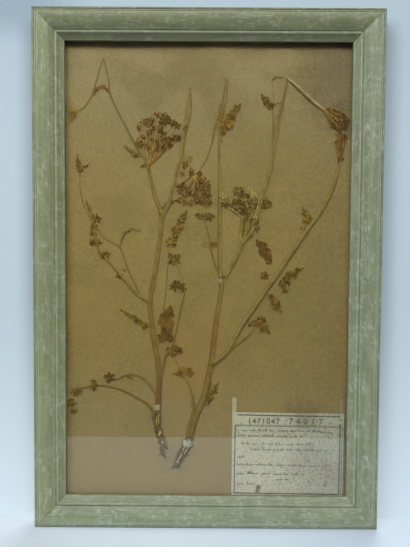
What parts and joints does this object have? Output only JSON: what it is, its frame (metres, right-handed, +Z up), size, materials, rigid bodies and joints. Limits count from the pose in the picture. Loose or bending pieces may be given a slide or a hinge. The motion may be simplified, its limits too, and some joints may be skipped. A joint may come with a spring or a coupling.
{
  "type": "pressed flower frame",
  "caption": "Wall-hung herbarium picture: pressed umbellifer plants with roots, strapped to a labelled brown sheet behind glass in a mitred green moulding, with a sawtooth hanger.",
  "frame": {"origin": "the middle notch of the sawtooth hanger on the top rail's back, where the wall nail bears", "axes": "+Z up, +X to the viewer's right, +Y into the wall: the picture faces -Y"},
  "size_m": [0.332, 0.0276, 0.496],
  "materials": {
    "limed_green_wood": "satin",
    "clear_glass": "gloss",
    "mounting_paper": "matte",
    "hardboard": "matte",
    "point_steel": "satin",
    "hanger_steel": "satin",
    "label_paper": "matte",
    "paper_strip": "matte",
    "dried_stem": "matte",
    "dried_root": "matte",
    "dried_umbel": "matte",
    "dried_leaf": "matte"
  },
  "bodies": {
    "root": {"backing_board": "hardboard", "frame_bottom_rail": "limed_green_wood", "frame_left_rail": "limed_green_wood", "frame_right_rail": "limed_green_wood", "frame_top_rail": "limed_green_wood", "framers_point_1": "point_steel", "framers_point_2": "point_steel", "framers_point_3": "point_steel", "framers_point_4": "point_steel", "framers_point_5": "point_steel", "framers_point_6": "point_steel", "framers_point_7": "point_steel", "framers_point_8": "point_steel", "glass_pane": "clear_glass", "hanger_brad_left": "hanger_steel", "hanger_brad_right": "hanger_steel", "herbarium_sheet": "mounting_paper", "label_card": "label_paper", "label_slip_left": "paper_strip", "label_slip_right": "paper_strip", "left_basal_stalk_lower": "dried_stem", "left_basal_stalk_upper": "dried_stem", "left_far_stem": "dried_stem", "left_far_tip": "dried_stem", "left_inner_stem": "dried_stem", "left_inner_tip": "dried_stem", "left_leaf_ovate": "dried_leaf", "left_leaf_petiole_lower": "dried_stem", "left_leaf_petiole_upper": "dried_stem", "left_leaf_side": "dried_leaf", "left_leaf_stalk_arch": "dried_stem", "left_leaf_stalk_long": "dried_stem", "left_leaf_stalk_outer": "dried_stem", "left_main_stem": "dried_stem", "left_root": "dried_root", "left_umbel_rays": "dried_umbel", "left_upper_stem": "dried_stem", "right_basal_stalk": "dried_stem", "right_centre_stem": "dried_stem", "right_centre_tip": "dried_stem", "right_drooping_stalk": "dried_stem", "right_drooping_umbel_rays": "dried_umbel", "right_folded_stem": "dried_stem", "right_folded_umbel_rays": "dried_umbel", "right_inner_branch": "dried_stem", "right_inner_tip": "dried_stem", "right_leaf_ovate": "dried_leaf", "right_main_stem": "dried_stem", "right_mid_stem": "dried_stem", "right_middle_umbel_rays": "dried_umbel", "right_node_stalk": "dried_stem", "right_outer_branch": "dried_stem", "right_outer_branchlet": "dried_stem", "right_outer_umbel_rays": "dried_umbel", "right_root": "dried_root", "right_stub_stem": "dried_stem", "sawtooth_hanger": "hanger_steel", "strap_left_stem": "paper_strip", "strap_right_node": "paper_strip", "strap_right_root": "paper_strip"}
  },
  "joints": []
}
